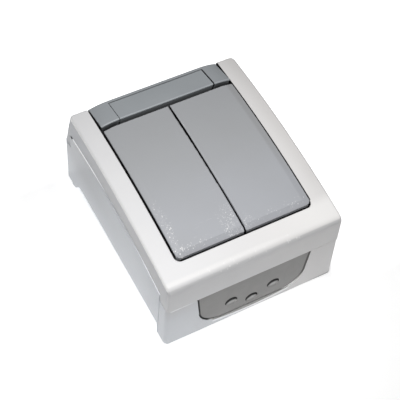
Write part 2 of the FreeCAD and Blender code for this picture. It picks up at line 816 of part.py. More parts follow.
def make_cradle(x):
    plate = block(x - cradle_plate_half_width, x + cradle_plate_half_width,
                  pivot_y - cradle_plate_half_length, pivot_y + cradle_plate_half_length,
                  plate_z, plate_top_z)
    hub = across(hub_radius, x - hub_half_length, x + hub_half_length, pivot_y, pivot_z)
    neck = block(x - hub_half_length, x + hub_half_length, pivot_y - hub_radius, pivot_y + hub_radius,
                 pivot_z, plate_z)
    trunnion = across(trunnion_radius, x - ear_outer, x + ear_outer, pivot_y, pivot_z)
    sleeve_low = plunger_top_z - sleeve_overlap
    sleeve = upright(sleeve_radius, x, pivot_y, sleeve_low, pivot_z)
    bore = upright(sleeve_bore, x, pivot_y, sleeve_low, spring_top_z)
    return plate.fuse([hub, neck, trunnion, sleeve]).cut(bore).removeSplitter()


def make_plunger(x):
    radius = sleeve_bore - plunger_clearance
    ball_z = plunger_tip_z + radius
    pin = upright(radius, x, pivot_y, ball_z, plunger_top_z)
    return pin.fuse(Part.makeSphere(radius, Vec(x, pivot_y, ball_z))).removeSplitter()


def make_spring(x):
    """Open coil of six-sided wire, ruled from section to section."""
    coil_radius = sleeve_bore - plunger_clearance - spring_wire_radius
    rise = (spring_length - 2 * spring_wire_radius) / (spring_turns * spring_steps)
    sections = []
    for step in range(spring_turns * spring_steps + 1):
        turn = 2 * math.pi * step / spring_steps
        z = plunger_top_z + spring_wire_radius + step * rise
        corners = []
        for corner in range(spring_wire_sides + 1):
            angle = 2 * math.pi * corner / spring_wire_sides
            reach = coil_radius + spring_wire_radius * math.cos(angle)
            corners.append(Vec(x + reach * math.cos(turn), pivot_y + reach * math.sin(turn),
                               z + spring_wire_radius * math.sin(angle)))
        sections.append(Part.makePolygon(corners))
    return Part.makeLoft(sections, True, True)


def make_moving_contact(x):
    arm = block(x - brass_half_width, x + brass_half_width, pivot_y - seesaw_half_length,
                pivot_y + seesaw_half_length, seesaw_z, seesaw_z + seesaw_thickness)
    groove = across(blade_half_thickness + seesaw_groove_clearance, x - brass_half_width,
                    x + brass_half_width, pivot_y, seesaw_z)
    rivet = upright(rivet_radius, x, pivot_y - rivet_offset, seesaw_z - moving_rivet_height, seesaw_z)
    return arm.cut(groove).fuse(rivet).removeSplitter()


def make_fixed_contact(x):
    strip = block(x - tab_half_width, x + tab_half_width, mechanism_near - terminal_deck_length,
                  pivot_y - rivet_offset + rivet_radius, deck_z, deck_z + brass_thickness)
    rivet_z = deck_z + brass_thickness
    rivet = upright(rivet_radius, x, pivot_y - rivet_offset, rivet_z, rivet_z + fixed_rivet_height)
    return strip.fuse(rivet).removeSplitter()


def make_common_terminal():
    top = deck_z + brass_thickness
    bar = block(-gang_x - brass_half_width, gang_x + brass_half_width, pivot_y - brass_half_width,
                pivot_y + brass_half_width, deck_z, top)
    tab = block(-tab_half_width, tab_half_width, mechanism_near - terminal_deck_length, pivot_y, deck_z, top)
    blades = []
    for x in (-gang_x, gang_x):
        blades.append(block(x - brass_half_width, x + brass_half_width, pivot_y - blade_half_thickness,
                            pivot_y + blade_half_thickness, deck_z, seesaw_z))
        blades.append(across(blade_half_thickness, x - brass_half_width, x + brass_half_width,
                             pivot_y, seesaw_z))
    return bar.fuse([tab] + blades).removeSplitter()


def make_terminal_clamps():
    clamps = []
    low = deck_z + brass_thickness
    for x in (-gang_x, 0, gang_x):
        clamp = block(x - clamp_half_width, x + clamp_half_width, clamp_y - clamp_length / 2,
                      clamp_y + clamp_length / 2, low, low + clamp_height)
        wire = Part.makeCylinder(wire_hole_radius, clamp_length,
                                 Vec(x, clamp_y - clamp_length / 2, low + wire_hole_height), Y_AXIS)
        screw = upright(screw_radius + screw_hole_clearance, x, clamp_y, low + wire_hole_height,
                        low + clamp_height)
        clamps.append(clamp.cut([wire, screw]))
    return Part.makeCompound(clamps)


def make_terminal_screws():
    seat = deck_z + brass_thickness + clamp_height
    length = clamp_height - wire_hole_height
    return Part.makeCompound([make_screw(x, clamp_y, seat, length) for x in (-gang_x, 0, gang_x)])


rocker_right, rocker_left = both_sides(make_rocker())
nodes = {
    "base_box": make_base_box(),
    "cover_frame": make_cover_frame(),
    "rocker_left": rocker_left,
    "rocker_right": rocker_right,
    "label_strip": make_label_strip(),
    "label_plate": make_label_plate(),
    "cable_entry": make_cable_entry(),
    "cover_gasket": make_cover_gasket(),
    "mechanism_body": make_mechanism_body(),
    "mechanism_screws": make_mechanism_screws(),
    "common_terminal": make_common_terminal(),
    "terminal_clamps": make_terminal_clamps(),
    "terminal_screws": make_terminal_screws(),
}
for name, x in (("left", -gang_x), ("right", gang_x)):
    nodes["cradle_" + name] = make_cradle(x)
    nodes["plunger_" + name] = make_plunger(x)
    nodes["spring_" + name] = make_spring(x)
    nodes["contact_" + name] = make_moving_contact(x)
    nodes["fixed_contact_" + name] = make_fixed_contact(x)

os.makedirs("parts", exist_ok=True)
for name, shape in nodes.items():
    shape.exportStep("parts/" + name + ".step")
    print(name, len(shape.Solids), "solid, valid", shape.isValid(), "volume", round(shape.Volume, 1))
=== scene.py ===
# %% [markdown]
# # An outdoor wall switch, dressed for its picture
# The switch is a white plastic box with two grey tilting keys, a dark grey strip across its
# upper end and a soft grey cable entry in its lower wall. Every piece arrives from the CAD
# frame with its true shape and place. This script adds what CAD doesn't carry: finishes,
# wear, dust, light and a camera. Blender's lengths are in metres. The masks that place a
# mark on a piece count in millimetres, as a drawing does.

# %% Load the frame
import math

import bpy
from mathutils import Matrix, Vector

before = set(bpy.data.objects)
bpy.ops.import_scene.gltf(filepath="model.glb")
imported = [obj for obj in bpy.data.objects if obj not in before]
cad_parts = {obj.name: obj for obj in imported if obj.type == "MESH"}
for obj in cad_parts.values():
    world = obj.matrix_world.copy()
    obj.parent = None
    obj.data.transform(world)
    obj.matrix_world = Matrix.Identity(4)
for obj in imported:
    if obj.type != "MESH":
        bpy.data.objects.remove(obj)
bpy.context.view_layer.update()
MM = 0.001
print("nodes:", len(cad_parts))

# %% [markdown]
# ## Camera
# The photograph looks down on the switch from its lower left. A camera can be aimed by eye,
# but an angle read from the edges of the object is exact: azimuth, elevation and roll give
# three axes, and those axes are the columns of the camera's matrix. A long lens keeps the
# box's sides nearly parallel, as in the photograph.

# %% Camera at the photograph's angle
VIEW_AZIMUTH = math.radians(-31.32)
VIEW_ELEVATION = math.radians(54.07)
VIEW_ROLL = math.radians(4.26)
VIEW_DISTANCE = 389.48 * MM
AIM_POINT = Vector((0, 0, 18 * MM))

toward_camera = Vector((
    math.sin(VIEW_AZIMUTH) * math.cos(VIEW_ELEVATION),
    -math.cos(VIEW_AZIMUTH) * math.cos(VIEW_ELEVATION),
    math.sin(VIEW_ELEVATION),
))
level_right = (-toward_camera).cross(Vector((0, 0, 1))).normalized()
level_up = level_right.cross(-toward_camera)
camera_right = level_right * math.cos(VIEW_ROLL) + level_up * math.sin(VIEW_ROLL)
camera_up = level_up * math.cos(VIEW_ROLL) - level_right * math.sin(VIEW_ROLL)

camera_data = bpy.data.cameras.new("camera")
camera_data.sensor_width = 36.0
camera_data.lens = 99.0
camera_data.shift_x = 0.0057
camera_data.shift_y = -0.0202
camera_data.clip_start = 0.02
camera = bpy.data.objects.new("camera", camera_data)
bpy.context.collection.objects.link(camera)
turn = Matrix((camera_right, camera_up, toward_camera)).transposed().to_4x4()
camera.matrix_world = Matrix.Translation(AIM_POINT + toward_camera * VIEW_DISTANCE) @ turn
bpy.context.scene.camera = camera
print("camera at", [round(value, 4) for value in camera.location])

# %% [markdown]
# ## Light and floor
# The photograph's front face is brightest at its lower left and falls off towards the strip,
# while both walls that we see are about half as bright. A soft lamp close above the lower
# left corner does that: a near lamp fades across the object, a far one would not. The walls
# get most of their light from the white table, which comes a little later as a finish.

# %% Studio light and floor
scene = bpy.context.scene
scene.view_settings.view_transform = "Standard"

sky = bpy.data.worlds.new("studio sky")
sky.use_nodes = True
sky_shader = sky.node_tree.nodes["Background"]
sky_shader.inputs["Color"].default_value = (0.93, 0.965, 1.0, 1.0)
sky_shader.inputs["Strength"].default_value = 0.04
scene.world = sky


def soft_lamp(name, place, width, watts, colour):
    """A square area lamp at a place in metres, facing the middle of the switch."""
    data = bpy.data.lights.new(name, "AREA")
    data.size = width
    data.energy = watts
    data.color = colour
    lamp = bpy.data.objects.new(name, data)
    bpy.context.collection.objects.link(lamp)
    lamp.location = place
    lamp.rotation_mode = "QUATERNION"
    lamp.rotation_quaternion = (lamp.location - AIM_POINT).to_track_quat("Z", "Y")
    print(name, "at", [round(value, 3) for value in lamp.location])


soft_lamp("key lamp", place=(-0.031, -0.056, 0.235), width=0.12, watts=0.455,
          colour=(1.0, 0.99, 0.98))

bpy.ops.mesh.primitive_plane_add(size=4.0, location=(0, 0, 0))
floor = bpy.context.object
floor.name = "studio_floor"
print("stage:", floor.name)

# %% [markdown]
# ## Sums with sockets
# A finish is a small graph of shader nodes. Wiring nodes one by one is long to write and
# hard to read, so one class wraps a socket and lets Python's own operators add the Math
# nodes. Any other node comes from its `node` method, which takes the node's type, its
# settings and what goes into its sockets. Most marks start from `rise` and `band`: they turn
# a position into a mask with soft ends, which is 1 where the mark lies and 0 elsewhere.

# %% A socket that Python can do sums with


class Wire:
    """One output socket of a shader graph."""

    def __init__(self, tree, socket):
        self.tree = tree
        self.socket = socket

    def node(self, kind, settings, sockets, output=0):
        """Any node: first its settings, then the values or links of its sockets."""
        made = self.tree.nodes.new(kind)
        for key, value in settings.items():
            setattr(made, key, value)
        for key, value in sockets.items():
            if isinstance(value, Wire):
                self.tree.links.new(value.socket, made.inputs[key])
            else:
                made.inputs[key].default_value = value
        return Wire(self.tree, made.outputs[output])

    def sum(self, operation, first, second):
        return self.node("ShaderNodeMath", {"operation": operation}, {0: first, 1: second})

    def __add__(self, other):
        return self.sum("ADD", self, other)

    __radd__ = __add__

    def __sub__(self, other):
        return self.sum("SUBTRACT", self, other)

    def __rsub__(self, other):
        return self.sum("SUBTRACT", other, self)

    def __mul__(self, other):
        return self.sum("MULTIPLY", self, other)

    __rmul__ = __mul__

    def __abs__(self):
        return self.node("ShaderNodeMath", {"operation": "ABSOLUTE"}, {0: self})

    def most(self, other):
        """The larger of two values."""
        return self.sum("MAXIMUM", self, other)

    def rise(self, low, high):
        """0 below low, 1 above high, smooth between; low above high turns it round."""
        flipped = low > high
        ends = {"Value": self, "From Min": min(low, high), "From Max": max(low, high)}
        step = self.node("ShaderNodeMapRange", {"interpolation_type": "SMOOTHSTEP"}, ends)
        return 1 - step if flipped else step

    def band(self, start, full, fading, gone):
        """0 up to start, 1 from full to fading, 0 again from gone on."""
        return self.rise(start, full) * self.rise(gone, fading)

    def noise(self, scale, detail=3.0, roughness=0.5):
        """Cloudy noise from 0 to 1 over this position, scale in waves per metre."""
        sockets = {"Vector": self, "Scale": scale, "Detail": detail, "Roughness": roughness}
        return self.node("ShaderNodeTexNoise", {}, sockets)

    def tint(self, first, second):
        """A colour between two others, by this factor."""
        sockets = {"Factor": self, "A": first, "B": second}
        return self.node("ShaderNodeMix", {"data_type": "RGBA"}, sockets, "Result")


print("sockets can now be added, multiplied and mixed")

# %% [markdown]
# ## Starting a finish
# Every finish begins the same way: a new material, its Principled shader, and the position
# on the piece in metres. Object coordinates are the right choice here, because every piece
# sits at the origin with its place in its mesh: a speck stays on the key when the key tilts.
# A finish ends the same way too: coats of colour, each with its own mask, and a piece to
# put the material on.

# %% Helpers that begin a finish and put it on pieces


def begin(name):
    """A fresh material with its shader and the position on the piece, in metres."""
    material = bpy.data.materials.new(name)
    material.use_nodes = True
    tree = material.node_tree
    place = tree.nodes.new("ShaderNodeTexCoord")
    return material, tree.nodes["Principled BSDF"], Wire(tree, place.outputs["Object"])


def feed(shader, sockets):
    """Sets the shader's sockets, or links them where a wire is given."""
    for name, value in sockets.items():
        if isinstance(value, Wire):
            shader.id_data.links.new(value.socket, shader.inputs[name])
        else:
            shader.inputs[name].default_value = value


def axis(place, letter):
    """One coordinate of a position, in millimetres."""
    part = place.node("ShaderNodeSeparateXYZ", {}, {"Vector": place}, letter)
    return part * (1 / MM)


def axes(place):
    """All three coordinates of a position, in millimetres."""
    return [axis(place, letter) for letter in "XYZ"]


def relief(height, depth):
    """A bump from a height between 0 and 1, as deep as given in metres."""
    return height.node("ShaderNodeBump", {}, {"Height": height, "Distance": depth})


def paint(tone, *coats):
    """Lays coats over a tone, in the order given: pairs of a mask and a colour."""
    for mask, colour in coats:
        tone = mask.tint(tone, colour)
    return tone


def dress(material, *names):
    """Puts a finish on CAD pieces, in all of their slots."""
    for name in names:
        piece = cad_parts[name]
        for index in range(max(1, len(piece.data.materials))):
            if piece.data.materials:
                piece.data.materials[index] = material
            else:
                piece.data.materials.append(material)
    print(material.name, "on", ", ".join(names))


NO_LIGHT = (0, 0, 0, 1)
WHITE = (1.0, 1.0, 1.0, 1)
print("finishes can now be begun, painted and put on")

# %% [markdown]
# ## Floor
# The floor is plain and almost white. A light of its own stands for the bright table of a
# product photograph: it washes out the shadow, whitens the background behind the switch and
# lifts the foot of the left wall.

# %% Floor finish
floor_finish, floor_shader, floor_place = begin("studio floor")
floor_tone = floor_place.noise(6.0).tint((0.90, 0.90, 0.90, 1), (0.93, 0.93, 0.93, 1))
floor_reach = floor_place.node(
    "ShaderNodeVectorMath", {"operation": "LENGTH"}, {0: floor_place}, "Value")
floor_x = axis(floor_place, "X")
floor_y = axis(floor_place, "Y")
right_side = floor_x.rise(32.0, 38.0) * floor_y.rise(-50.0, -38.0)
far_side = floor_y.rise(38.0, 46.0) * floor_x.rise(-70.0, -34.0)
left_far = floor_x.rise(-50.0, -70.0) * floor_y.rise(-70.0, -10.0)
left_foot = floor_x.band(-42.0, -34.0, -30.0, -26.0) * floor_y.rise(-44.0, -30.0)

close_glow = floor_reach.rise(0.20, 0.08) * 0.36
foot_glow = left_foot * (0.20 + floor_y.rise(30.0, -20.0) * 0.15)
wide_glow = floor_reach.rise(0.50, 0.15) * (right_side.most(far_side) * 0.75 + left_far * 0.30)
floor_glow = close_glow + foot_glow + wide_glow
feed(floor_shader, {
    "Base Color": floor_tone,
    "Roughness": 0.8,
    "Emission Color": floor_glow.tint(NO_LIGHT, (0.98, 0.99, 1.0, 1)),
    "Emission Strength": 1.0,
})
floor.data.materials.append(floor_finish)
print(floor_finish.name, "on", floor.name)

# %% [markdown]
# ## Gaps and specks
# A gap half a millimetre wide gives back hardly any light, so its faces are painted black as
# shade and read as a black line. The faces inside a gap are found by their position: so far
# below
# the arched front, and so close to the edge of the opening. Scuffs are made of small round
# specks:
# cell noise gives each cell a dot, and a share of the cells keeps it.

# %% Depth below the arched front, and specks
# Painted shade: the near-black colour laid on faces inside gaps, where shade falls.
GAP_SHADE_BLACK = (0.008, 0.008, 0.009, 1)
FACE_TOP = 38.75
KEY_TOP = 40.15
ARCH_MIDDLE = 13.0
ARCH_RADIUS = 287.0


def below_arch(along, up, top):
    """How far a point lies below an arch along Y with the given top, in millimetres."""
    reach = along - ARCH_MIDDLE
    return top - reach * reach * (0.5 / ARCH_RADIUS) - up


def specks(place, size, share):
    """Small round marks: cells of the given size in metres, of which a share holds one."""
    cells = {"Vector": place, "Scale": 1 / size}
    distance = place.node("ShaderNodeTexVoronoi", {}, cells, "Distance")
    colour = place.node("ShaderNodeTexVoronoi", {}, cells, "Color")
    chance = place.node("ShaderNodeSeparateColor", {}, {"Color": colour}, "Red")
    return distance.rise(0.46, 0.26) * chance.rise(1 - share - 0.02, 1 - share + 0.02)


print("front arch from", FACE_TOP, "mm, keys from", KEY_TOP, "mm")

# %% [markdown]
# ## White plastic
# The box and its frame are moulded white plastic with a satin face. Up close such plastic is
# never one colour: it clouds slightly, and the mould leaves a fine grain that spreads each
# highlight. The tone may change from left to right, because the photograph's light does.

# %% White plastic


def white_plastic(name, left, right):
    """Satin white from a left to a right tone: material, shader, position and colour."""
    material, shader, place = begin(name)
    clouds = place.noise(45.0, 4.0)
    grain = place.noise(5200.0, 2.0)
    tone = axis(place, "X").rise(-30.0, 24.0).tint(left, right)
    darker = place.node("ShaderNodeMix", {"data_type": "RGBA", "blend_type": "MULTIPLY"},
                        {"Factor": 1.0, "A": tone, "B": (0.97, 0.97, 0.97, 1)}, "Result")
    feed(shader, {
        "Roughness": 0.36 + clouds * 0.10,
        "IOR": 1.46,
        "Normal": relief(grain, 0.012 * MM),
    })
    return material, shader, place, clouds.rise(0.3, 0.7).tint(darker, tone)


print("white plastic is ready for the frame and the box")

# %% [markdown]
# ## Frame: gaps
# The sides of the frame's opening face the keys and the strip across a narrow gap, and are
# painted black there as shade. Beyond the keys only the two side faces count, or the frame's far
# wall would turn black as well.

# %% Frame: where it faces a gap
frame_finish, frame_shader, place, frame_tone = white_plastic(
    "frame white", left=(0.82, 0.824, 0.838, 1), right=(0.834, 0.826, 0.824, 1))
across, along, up = axes(place)
depth = below_arch(along, up, FACE_TOP)

beside_keys = along.rise(27.0, 26.5)
beside_strip = abs(across).rise(25.30, 25.45)
opening_side = abs(across).rise(25.78, 25.64) * depth.rise(0.30, 0.60)
opening_side = opening_side * beside_keys.most(beside_strip)
# Painted shade: a dark band on the right edge of the opening, beside the key.
right_rim_shade = across.band(24.0, 25.0, 25.86, 25.98) * along.rise(-30.6, -29.8)
frame_gap_shade = opening_side.most(right_rim_shade) * along.rise(-32.58, -32.44)
print("gap masks on", frame_finish.name)

# %% [markdown]
# ## Frame: tones and chips
# One lamp can't match a studio in every face, so a few masks paint light and shade into the
# white: painted shade makes the near and the left wall greyer, more so towards the left wall's
# far end, and the right bar duller. Painted highlights brighten the rounded lips above both
# walls and the face's near right corner. Small bright chips lie along the near edge.

# %% Frame: tones, chips and finish
# Painted shade: greyer near and left walls and a duller right bar.
turn_shade = depth.rise(4.5, 1.8) * 0.16 + depth.band(0.5, 0.9, 1.3, 2.4) * 0.34
near_wall_shade = along.rise(-38.8, -39.8) * depth.rise(0.2, 0.8) * (0.22 + turn_shade)
right_bar_shade = across.rise(26.8, 31.2) * along.rise(-36.0, -20.0) * 0.30
corner_foot = along.rise(-33.0, -37.0) * up.rise(31.0, 23.0)
left_shade = 0.34 + along.rise(0.0, 34.0) * 0.60 - corner_foot * 0.18
left_shade = left_shade * along.rise(-40.2, -39.4)
left_wall_shade = across.rise(-32.2, -32.5) * depth.rise(0.7, 1.2) * left_shade

# Painted highlights: the face's near right corner and the rounded lips above both walls.
near_corner_highlight = along.rise(-29.0, -34.0) * across.rise(0.0, 28.0) * depth.rise(0.8, 0.3)
near_lip_highlight = along.band(-39.4, -38.8, -38.2, -37.0) * depth.rise(1.6, 1.0) * 0.5
left_lip_highlight = across.rise(-32.1, -32.5) * depth.rise(1.2, 0.7)

near_edge = along.rise(-37.8, -38.6) * depth.rise(1.5, 0.8)
near_edge = near_edge * across.band(-24.0, -16.0, 14.0, 19.0)
chips = near_edge * place.noise(260.0).rise(0.42, 0.56) * specks(place, 0.9 * MM, 0.45)

frame_tone = paint(
    frame_tone,
    (near_wall_shade, (0.60, 0.605, 0.62, 1)),
    (right_bar_shade, (0.615, 0.595, 0.580, 1)),
    (left_wall_shade, (0.44, 0.455, 0.485, 1)),
    (near_corner_highlight.most(near_lip_highlight), (0.93, 0.925, 0.92, 1)),
    (left_lip_highlight, WHITE),
    (chips * 0.6, WHITE),
    (frame_gap_shade, GAP_SHADE_BLACK),
)
feed(frame_shader, {"Base Color": frame_tone})
dress(frame_finish, "cover_frame")

# %% [markdown]
# ## Box: ledges and parting line
# The parting line between box and frame runs level round the ends and rises in an arch over
# the sides, where the box has a narrow ledge. Parts of each ledge get a painted highlight, a
# thin white line with a glow of its own, and its far end a dot of painted shade, while a painted
# shadow lies under the middle of the left one. On the near wall the parting line shows as a
# faint painted highlight at the left corner, and the wall just under the frame gets painted
# shade towards the left.

# %% Box: ledge and parting masks
HALF_WIDTH = 33.5
SIDE_DRAFT = 0.016
SIDE_PARTING_TOP = 30.15
SIDE_PARTING_MIDDLE = 8.7
SIDE_PARTING_RADIUS = 200.0
END_PARTING = 21.3

box_finish, box_shader, place, box_tone = white_plastic(
    "box white", left=(0.765, 0.792, 0.832, 1), right=(0.790, 0.780, 0.783, 1))
across, along, up = axes(place)
on_left_wall = across.rise(-31.5, -32.5)
on_near_wall = along.rise(-40.5, -40.7)

reach = along - SIDE_PARTING_MIDDLE
below_side = SIDE_PARTING_TOP - reach * reach * (0.5 / SIDE_PARTING_RADIUS) - up
step_in = HALF_WIDTH - abs(across) - up * SIDE_DRAFT
ledge = step_in.band(0.03, 0.10, 0.9, 1.2) * below_side.rise(0.80, 0.55)
# Painted highlight: parts of the ledges glow as a thin white line; their far ends get painted
# shade.
ledge_highlight = ledge * along.band(3.0, 17.0, 33.2, 33.6).most(along.rise(-14.0, -26.0) * 0.5)
ledge_end_shade = ledge * along.band(33.5, 33.7, 34.7, 35.0) * 0.8
# Painted shadow under the middle of the left ledge.
ledge_shadow = step_in.rise(0.10, 0.03) * below_side.band(0.55, 0.75, 1.1, 1.5) * 0.4
ledge_shadow = ledge_shadow * on_left_wall * along.band(-18.0, -10.0, 6.0, 14.0)

below_end = END_PARTING - up
# Painted shade under the frame on the near wall, and a painted highlight on its parting line.
under_frame_shade = along.rise(-39.0, -40.0) * below_end.rise(8.0, 0.5) * across.rise(4.0, -22.0)
end_line_highlight = along.rise(-40.0, -40.3) * below_end.band(-0.1, 0.0, 0.40, 0.55)
end_line_highlight = end_line_highlight * across.band(-32.0, -31.6, -30.0, -19.0)
print("ledge and parting masks on", box_finish.name)

# %% [markdown]
# ## Box: round the cable entry
# The entry sits in a notch of the near wall. Its lower edge bows down a little, so a parabola
# on the wall takes the entry's grey, and the lip below it gets a painted highlight. The sides of
# the notch get painted shade where they leave a gap, the foot of the notch is painted white as a
# highlight, and the notch's lower right lip glows a little as a painted highlight.

# %% Box: masks round the cable entry
BOW_LOWEST = 1.7
BOW_CURVE = 0.0058

in_notch = along.band(-40.76, -40.70, -39.0, -38.8) * abs(across).rise(22.8, 22.4)
# Painted highlight: the foot of the notch is painted white.
notch_foot_highlight = in_notch * up.rise(7.0, 4.5)
notch_ends = across.rise(-15.5, -17.5).most(across.rise(19.0, 20.5) * 0.6)
# Painted shade: the notch's sides where they leave a gap.
notch_gap_shade = in_notch * notch_ends * up.rise(3.0, 4.5)
notch_middle = in_notch * abs(across).rise(14.0, 12.0)
# Painted highlight: the notch's lower right lip, lit by a glow.
notch_lip_highlight = in_notch * up.rise(6.0, 4.0) * across.rise(12.0, 14.0)

above_bow = up - BOW_LOWEST - across * across * BOW_CURVE
bow_reach = abs(across).rise(15.4, 14.6)
entry_bow = above_bow.rise(-0.08, 0.08) * bow_reach * up.rise(5.0, 4.0) * on_near_wall
# Painted highlight: the lip under the entry's bowed edge, lit by a glow.
bow_lip_highlight = above_bow.band(-1.3, -1.0, -0.1, 0.05) * bow_reach * along.rise(-40.7, -40.78)
print("entry masks on", box_finish.name)

# %% [markdown]
# ## Box: tones
# As on the frame, a few masks paint shade into the white: greyer towards the far end of the
# left wall and at the right end of the near wall, which also has a painted shadow line at its
# foot. The lit lines get a painted glow of their own, so that they stay as bright as in the
# picture.

# %% Box: tones, glow and finish
# Painted shade: greyer far end of the left wall, right end of the near wall, a shadow line at
# its foot.
left_far_end_shade = on_left_wall * along.rise(-20.0, 32.0) * (0.30 + up.rise(6.0, 20.0) * 0.58)
right_end_shade = on_near_wall * across.rise(20.0, 31.0) * 0.12
foot_shadow_line = on_near_wall * up.rise(0.85, 0.50) * across.rise(22.0, 29.0) * 0.75
box_tone = paint(
    box_tone,
    (notch_foot_highlight, WHITE),
    (left_far_end_shade, (0.55, 0.565, 0.59, 1)),
    (ledge_shadow, (0.50, 0.515, 0.54, 1)),
    (under_frame_shade, (0.729, 0.742, 0.771, 1)),
    (entry_bow, (0.360, 0.357, 0.354, 1)),
    (notch_middle, (0.40, 0.397, 0.394, 1)),
    (right_end_shade, (0.50, 0.50, 0.50, 1)),
    (foot_shadow_line, (0.20, 0.20, 0.20, 1)),
    (notch_gap_shade.most(ledge_end_shade), GAP_SHADE_BLACK),
)
# Painted highlights: the ledge lines, notch lips and parting line glow though they are no lamp.
highlight_glow = (ledge_highlight * 0.50).most(notch_lip_highlight.most(bow_lip_highlight) * 0.20).most(end_line_highlight * 0.17)
feed(box_shader, {
    "Base Color": box_tone,
    "Emission Color": highlight_glow.tint(NO_LIGHT, WHITE),
    "Emission Strength": 1.0,
})
dress(box_finish, "base_box")

# %% [markdown]
# ## Keys: gaps
# The sides of the keys are painted black as shade from where a gap swallows the light. In the
# split that point climbs towards the far end, so the line is finer at its near end, as in the
# photograph.

# %% Keys: where they face a gap
key_finish, key_shader, place = begin("key grey")
across, along, up = axes(place)
depth = below_arch(along, up, KEY_TOP)
split_depth = depth + along.rise(-16.0, 14.0) * 0.60

# Painted shade: the key sides below these depths are near black.
outer_skirt = abs(across).rise(25.00, 25.10) * depth.rise(0.55, 0.75)
split_skirt = abs(across).rise(0.44, 0.36) * split_depth.rise(0.70, 1.00)
near_skirt = along.rise(-31.48, -31.60) * depth.rise(2.15, 2.45)
far_skirt = along.rise(23.30, 23.44) * depth.rise(0.30, 0.60)
key_gap_shade = outer_skirt.most(split_skirt).most(near_skirt).most(far_skirt)
print("gap masks on", key_finish.name)

# %% [markdown]
# ## Keys: wear
# Fingers and weather have left pale scuffs: a band of specks just inside the left key's outer
# edge that thickens towards its near corner, a thinner band along the near edge of both keys,
# and a cloud of fine marks beside the split. Masks made from the position say where specks
# may lie, and cell noise of several sizes breaks each band into single marks.

# %% Keys: scuffs and streaks
left_band = across.band(-24.7, -24.0, -22.8, -20.4) * along.rise(-5.0, -19.0)
left_corner = across.rise(-19.8, -23.6) * along.rise(-25.5, -30.2)
corner_tip = across.band(-24.4, -23.9, -22.6, -21.6) * along.band(-31.3, -30.9, -29.6, -28.6)
near_band = along.band(-31.4, -30.6, -29.4, -26.4)
split_left = across.band(-9.5, -4.0, -1.0, -0.6) * along.rise(-16.0, -26.5)
split_right = across.band(0.5, 0.9, 2.0, 5.5) * along.rise(-22.0, -29.0)

fine_area = left_band + split_left + split_right * 0.7 + near_band * 0.35
middling_area = left_band + left_corner + near_band * 0.5 + split_left * 0.6
fine = specks(place, 0.32 * MM, 0.40) * fine_area
middling = specks(place, 0.58 * MM, 0.30) * middling_area
coarse = specks(place, 0.95 * MM, 0.30) * left_corner
tip_marks = specks(place, 0.80 * MM, 0.75) * corner_tip
worn = place.noise(450.0).rise(0.30, 0.56)

drawn_out = place.node("ShaderNodeMapping", {}, {"Vector": place, "Scale": (0.10, 1.0, 1.0)})
streaks = drawn_out.noise(1500.0, 2.0).rise(0.66, 0.74)
streaks = streaks * along.rise(4.0, -12.0) * across.rise(4.0, -4.0)
scuff = (fine * 0.75 + middling + coarse) * worn + tip_marks + streaks * 0.25
scuff = scuff.rise(0.05, 0.85)
print("scuffs and streaks on", key_finish.name)

# %% [markdown]
# ## Keys: colour
# The keys are satin grey, painted paler and cooler towards their near end as painted light. A
# haze of dust dulls them in clouds and along the right key's outer edge, and a darker, browner
# tint runs along their near edge. Scuffed plastic is paler and less glossy.

# %% Keys: colour and finish
haze = place.noise(60.0, 4.0)
# Painted light: the grey is paler and cooler towards the near end, where the light falls.
key_grey_painted_light = along.rise(10.0, -26.0).tint((0.410, 0.423, 0.441, 1), (0.438, 0.454, 0.487, 1))
outer_dust = across.rise(22.0, 23.6) * along.rise(-28.0, -8.0) * 0.28
dust = outer_dust + haze.rise(0.35, 0.75) * 0.12
# A darker, browner tint along the near edge.
near_edge_tint = along.rise(-30.9, -31.6) * 0.06
key_tone = paint(
    key_grey_painted_light,
    (dust, (0.345, 0.345, 0.345, 1)),
    (near_edge_tint, (0.26, 0.225, 0.215, 1)),
    (scuff * 0.9, (0.86, 0.86, 0.87, 1)),
    (key_gap_shade, GAP_SHADE_BLACK),
)
feed(key_shader, {
    "Base Color": key_tone,
    "Roughness": 0.42 + haze * 0.08 + scuff * 0.15,
    "IOR": 1.46,
    "Normal": relief(place.noise(4800.0, 2.0), 0.014 * MM),
})
dress(key_finish, "rocker_left", "rocker_right")

# %% [markdown]
# ## Plain plastic
# The strip, its label plate and the plastics inside the box share one recipe: clouds in
# colour and gloss, and a fine mould grain.

# %% Plain plastic


def plain_plastic(name, pale, shade, roughness):
    """Satin plastic between two tones: material, shader, position and colour."""
    material, shader, place = begin(name)
    clouds = place.noise(70.0, 4.0)
    grain = place.noise(4500.0, 2.0)
    tone = clouds.rise(0.3, 0.7).tint(shade, pale)
    feed(shader, {
        "Base Color": tone,
        "Roughness": roughness + clouds * 0.08,
        "IOR": 1.46,
        "Normal": relief(grain, 0.014 * MM),
    })
    return material, shader, place, tone


print("plain plastic is ready")

# %% [markdown]
# ## Strip
# The strip across the upper end is a darker, cooler grey than the keys. Its top slopes down to
# the far end and curves down past the label plate on both sides, so the depth below it is
# worked out from that slope and curve. Its near face gets painted shade, darker towards the
# keys and past the plate, and thin lines of painted shade mark the plate's slot and the strip's
# ends.

# %% Strip: depth, gaps and finish
STRIP_TOP = 41.4
STRIP_NEAR = 24.6
STRIP_SLOPE = 0.1975
STRIP_CURVE = 0.026
LABEL_SIDE = 18.2


def below_strip(across, along, up):
    """How far a point lies below the strip's top, in millimetres."""
    past_label = (abs(across) - LABEL_SIDE).most(0.0)
    fall = (along - STRIP_NEAR) * STRIP_SLOPE
    return STRIP_TOP - fall - past_label * past_label * STRIP_CURVE - up


strip_finish, strip_shader, place, strip_tone = plain_plastic(
    "strip grey", (0.405, 0.432, 0.455, 1), (0.385, 0.412, 0.435, 1), 0.40)
across, along, up = axes(place)
depth = below_strip(across, along, up)

